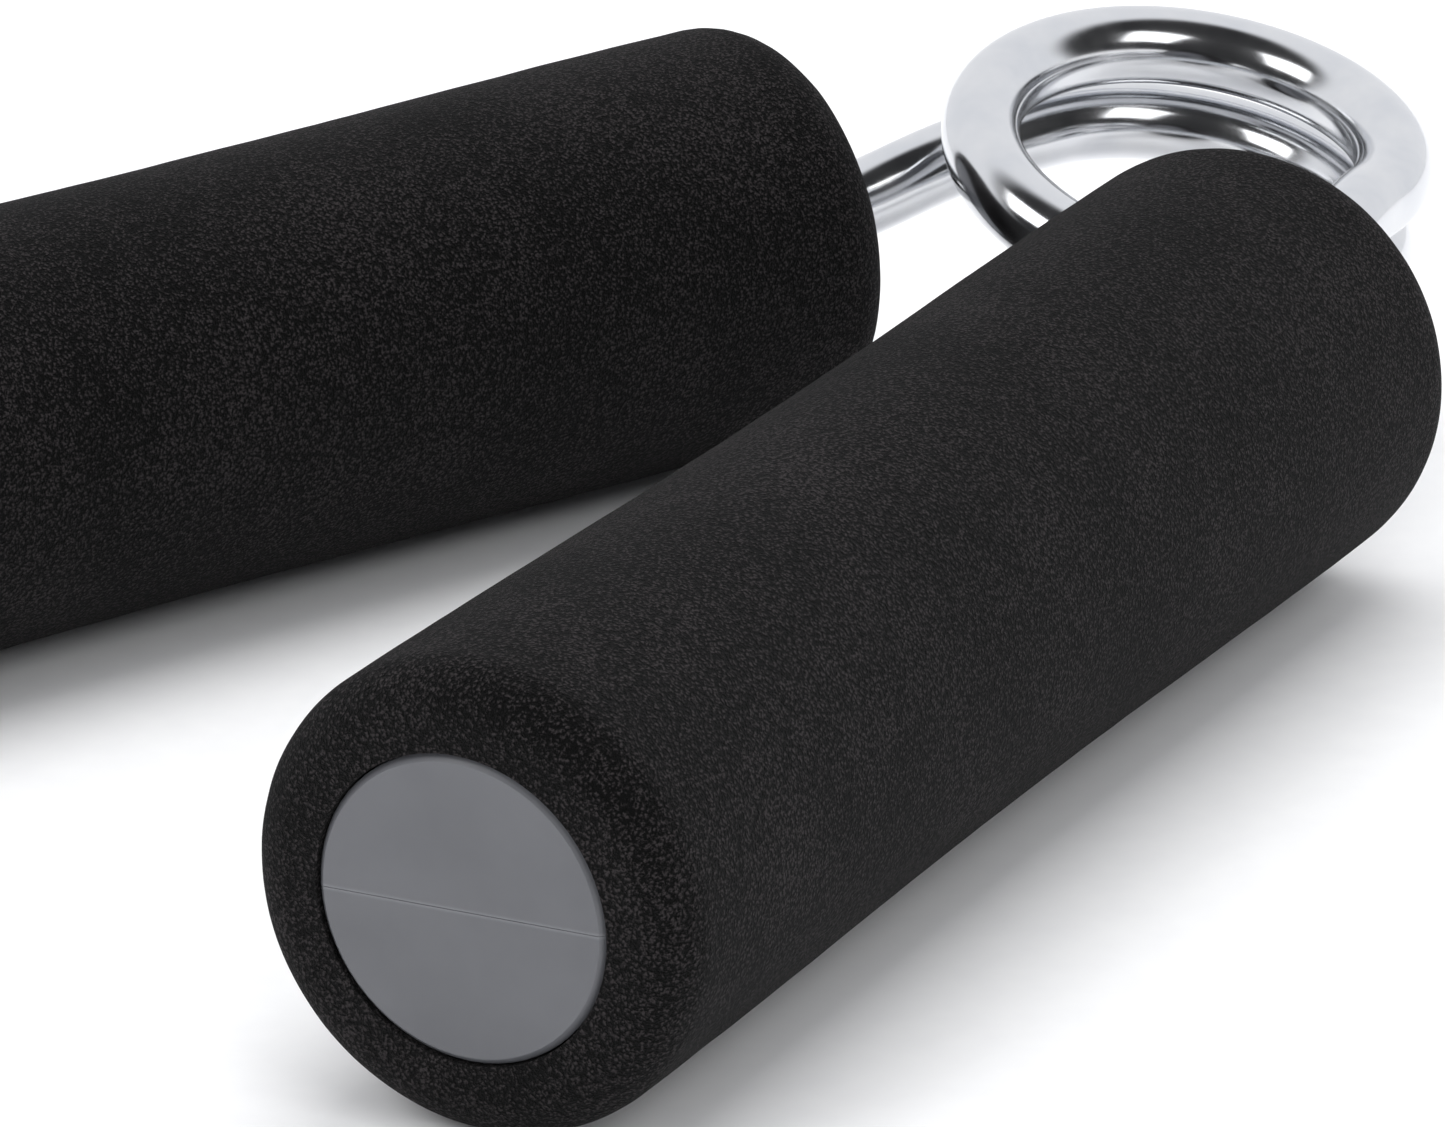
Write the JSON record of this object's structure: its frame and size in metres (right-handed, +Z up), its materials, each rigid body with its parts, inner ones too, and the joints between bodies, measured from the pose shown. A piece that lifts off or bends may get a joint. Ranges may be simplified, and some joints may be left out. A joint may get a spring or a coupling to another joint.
{
  "type": "hand grip strengthener",
  "caption": "Sprung hand grip strengthener: two foam-covered handles on plastic cores, joined by one coiled chromed wire that winds up as the hand squeezes.",
  "frame": {"origin": "on the surface the grip lies on, under the middle of its bounding box", "axes": "+Y from the free ends of the handles towards the coil, +Z up from the surface, +X to the right of someone who looks along +Y from the free ends"},
  "size_m": [0.1204, 0.1439, 0.03],
  "materials": {
    "spring_wire": "bright chrome plate on spring steel wire",
    "core": "satin moulded polypropylene, mid grey",
    "foam": "fine closed-cell foam with a pebbled skin, charcoal black"
  },
  "bodies": {
    "left_handle": {"spring_coil": "spring_wire", "left_spring_leg": "spring_wire", "left_core_upper": "core", "left_core_lower": "core", "left_foam_sleeve": "foam"},
    "right_handle": {"right_spring_leg": "spring_wire", "right_core_upper": "core", "right_core_lower": "core", "right_foam_sleeve": "foam"}
  },
  "joints": [
    {"name": "squeeze", "type": "hinge", "parent": "left_handle", "child": "right_handle", "pos_m": [0, 0.0546, 0.0179], "axis": [-0.2924, 0, -0.9563], "range_deg": [0, 31], "stiffness_Nm_per_rad": 50}
  ]
}
